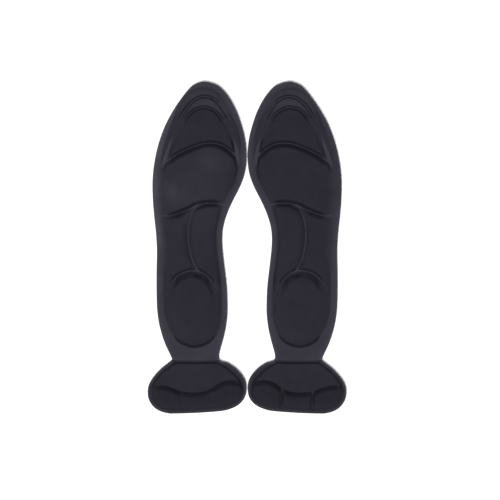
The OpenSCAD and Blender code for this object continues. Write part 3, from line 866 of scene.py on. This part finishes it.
def backing_material():
    """Black lining cloth in a fine plain weave."""
    made, n, shader = material("backing_weave")
    rest = n.attribute("rest_mm", "Vector")
    split = n.add("ShaderNodeSeparateXYZ", {0: rest})
    thread_mm = 0.8
    warp = n.math("SINE", n.math("MULTIPLY", split.outputs[0], 2 * math.pi / thread_mm))
    weft = n.math("SINE", n.math("MULTIPLY", split.outputs[1], 2 * math.pi / thread_mm))
    weave = n.math("MULTIPLY", warp, weft)
    tone = n.noise(rest, 0.12, 4)
    color = n.mix(n.remap(tone, 0.3, 0.7), (0.022, 0.022, 0.026, 1), (0.036, 0.035, 0.040, 1))
    color = n.mix(n.remap(weave, 0.1, 1.0, 0.0, 0.4), color, (0.070, 0.068, 0.075, 1))
    n.link(color, shader.inputs["Base Color"])
    n.link(n.remap(n.noise(rest, 2.2, 3), 0.3, 0.7, 0.62, 0.8), shader.inputs["Roughness"])
    shader.inputs["Sheen Weight"].default_value = 0.15
    n.link(n.bump(weave, 0.5, 0.00016), shader.inputs["Normal"])
    return made


def adhesive_material():
    """Clear tacky film with trapped air, straw coloured over the black cloth."""
    made, n, shader = material("adhesive_film")
    where = n.add("ShaderNodeTexCoord").outputs["Object"]
    blotch = n.noise(where, 320, 4, 0.6)
    color = n.mix(n.remap(blotch, 0.35, 0.7), (0.42, 0.38, 0.26, 1), (0.55, 0.51, 0.38, 1))
    n.link(color, shader.inputs["Base Color"])
    n.link(n.remap(n.noise(where, 900, 3), 0.3, 0.7, 0.12, 0.3), shader.inputs["Roughness"])
    shader.inputs["Coat Weight"].default_value = 0.3
    n.link(n.bump(blotch, 0.3, 0.0002), shader.inputs["Normal"])
    return made


def release_material():
    """Cream silicone-coated paper with faint fibres and handling creases."""
    made, n, shader = material("release_paper")
    where = n.add("ShaderNodeTexCoord").outputs["Object"]
    stretched = n.add("ShaderNodeMapping", {"Vector": where, "Scale": (1, 4, 1)}).outputs[0]
    fibres = n.noise(stretched, 900, 5, 0.7)
    cloud = n.noise(where, 60, 4, 0.6)
    color = n.mix(n.remap(cloud, 0.3, 0.7), (0.56, 0.50, 0.36, 1), (0.64, 0.59, 0.45, 1))
    color = n.mix(n.remap(fibres, 0.5, 0.75, 0.0, 0.4), color, (0.46, 0.40, 0.27, 1))
    n.link(color, shader.inputs["Base Color"])
    n.link(n.remap(cloud, 0.3, 0.7, 0.28, 0.45), shader.inputs["Roughness"])
    shader.inputs["Coat Weight"].default_value = 0.15
    creases = n.bump(n.noise(where, 45, 2, 0.4), 0.4, 0.0012)
    n.link(n.bump(fibres, 0.25, 0.00008, creases), shader.inputs["Normal"])
    return made


# ---------------------------------------------------------------------------------------------------------
# Pieces


def bend(obj, side, first, second):
    """Finds the flex line between a piece's first and second bodies and which way the second lies, and bakes
    its transform.
    """
    bodies = f"{side}_{first}", f"{side}_{second}"
    joint = next(j for j in frame["joints"] if (j["parent"], j["child"]) == bodies)
    line = Vector(joint["axis"]).normalized()
    across = Vector((-line.y, line.x, 0))
    # The second body lies towards the toe end only at the toe's flex line.
    if (across.y > 0) != (second == "toe"):
        across.negate()
    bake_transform(obj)


def build_piece(side, piece, meshes, reliefs, materials):
    """The cover, foam and backing of one insole between two cuts."""
    name, _, _, first, second, sections, patches = piece
    (flat, tris, border), (flat_low, tris_low, border_low) = meshes
    h, normal, shade = upper_skin(reliefs, side)
    d = distance(flat, outline)
    pressed = pressed_and_highlight_share(flat, side)
    # Where the painted highlight along the cut edge lies.
    edge = 1 - step(d, 0.1, 1.4)
    z_top, cover_low = Z["rim"] + h - edge_drop(d), Z["rim"] + h - Z["cover"]
    cover = shell(f"{side}_cover_{name}", flat, tris, border, side, z_top, cover_low, normal,
                  {"pressed": pressed, "edge": edge, "shade": shade})
    foam_top = cover_low - GLUE_T
    foam_low = np.full(len(flat), Z["backing_high"])
    foam = shell(f"{side}_foam_{name}", flat, tris, border, side, foam_top, foam_low, normal, {})
    up = np.tile((0.0, 0.0, 1.0), (len(flat_low), 1))
    levels = [np.full(len(flat_low), Z[key]) for key in ("backing_high", "backing_low")]
    backing = shell(f"{side}_backing_{name}", flat_low, tris_low, border_low, side, *levels, up, {})
    for obj, layer, slot in ((cover, "cover", "knit_cover"), (foam, "foam", "foam_core"),
                             (backing, "backing", "backing_cloth")):
        obj.data.materials.append(materials[slot])
        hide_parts(*[f"{side}_{section}_{layer}" for section in sections])
        bend(obj, side, first, second)


def build_insoles():
    """Both insoles: the layers' pieces, and new materials for the adhesive patches and their films."""
    materials = {
        "knit_cover": cover_material(), "foam_core": foam_material(), "backing_cloth": backing_material(),
        "adhesive": adhesive_material(), "release_film": release_material()}
    lines, rows = feature_lines(), bend_lines()
    for piece in PIECES:
        _, low, high, *_ = piece
        meshes = flat_mesh(low, high, FINE_GRID, lines), flat_mesh(low, high, COARSE_GRID, rows)
        reliefs = [relief(meshes[0][0] + (dx, dy)) for dx, dy in ((0, 0), (SLOPE_DELTA, 0), (0, SLOPE_DELTA))]
        for side in ("left", "right"):
            build_piece(side, piece, meshes, reliefs, materials)
    for row in frame["record"]["subparts"]:
        if row["material_slot"] in ("adhesive", "release_film"):
            node = frame["nodes"][row["node"]]
            node.data.materials.clear()
            node.data.materials.append(materials[row["material_slot"]])


# ---------------------------------------------------------------------------------------------------------
# Floor, light and camera


def build_stage():
    """A white floor that the pair lies on."""
    bpy.ops.mesh.primitive_plane_add(size=FLOOR_SIZE, location=(0, 0, -FLOOR_GAP))
    floor = bpy.context.object
    floor.name = "floor"
    made, _, shader = material("pale_floor")
    shader.inputs["Base Color"].default_value = (0.93, 0.93, 0.93, 1)
    shader.inputs["Roughness"].default_value = 0.9
    shader.inputs["Specular IOR Level"].default_value = 0.1
    floor.data.materials.append(made)


def area_light(name, location, size, power):
    """A round lamp aimed at the middle of the pair."""
    light = bpy.data.lights.new(name, "AREA")
    light.shape = "DISK"
    light.size = size
    light.energy = power
    obj = bpy.data.objects.new(name, light)
    obj.location = location
    obj.rotation_euler = (Vector((0, 0, 0)) - Vector(location)).to_track_quat("-Z", "Y").to_euler()
    bpy.context.scene.collection.objects.link(obj)


def build_light():
    """Soft light from all round, a key lamp from the grip's side and a weaker one overhead."""
    scene = bpy.context.scene
    world = bpy.data.worlds.new("studio")
    scene.world = world
    world.use_nodes = True
    background = world.node_tree.nodes["Background"]
    background.inputs["Color"].default_value = (1, 1, 1, 1)
    background.inputs["Strength"].default_value = 0.34
    area_light("key", (-0.6, -1.2, 2.1), 0.8, 60)
    area_light("overhead", (0, 0.1, 2.6), 1.0, 20)
    scene.view_settings.view_transform = "Standard"
    scene.view_settings.look = "None"


def build_camera():
    """Straight above, toes up, with the pair a little left of and above the middle."""
    camera = bpy.data.cameras.new("camera")
    camera_height = 1.5
    view_width = 0.4167
    camera.sensor_width = 36
    camera.lens = camera.sensor_width * camera_height / view_width
    obj = bpy.data.objects.new("camera", camera)
    obj.location = (0.0025, -0.0021, camera_height)
    bpy.context.scene.collection.objects.link(obj)
    bpy.context.scene.camera = obj


swell_grid = simulate_swell()
build_insoles()
build_stage()
build_light()
build_camera()
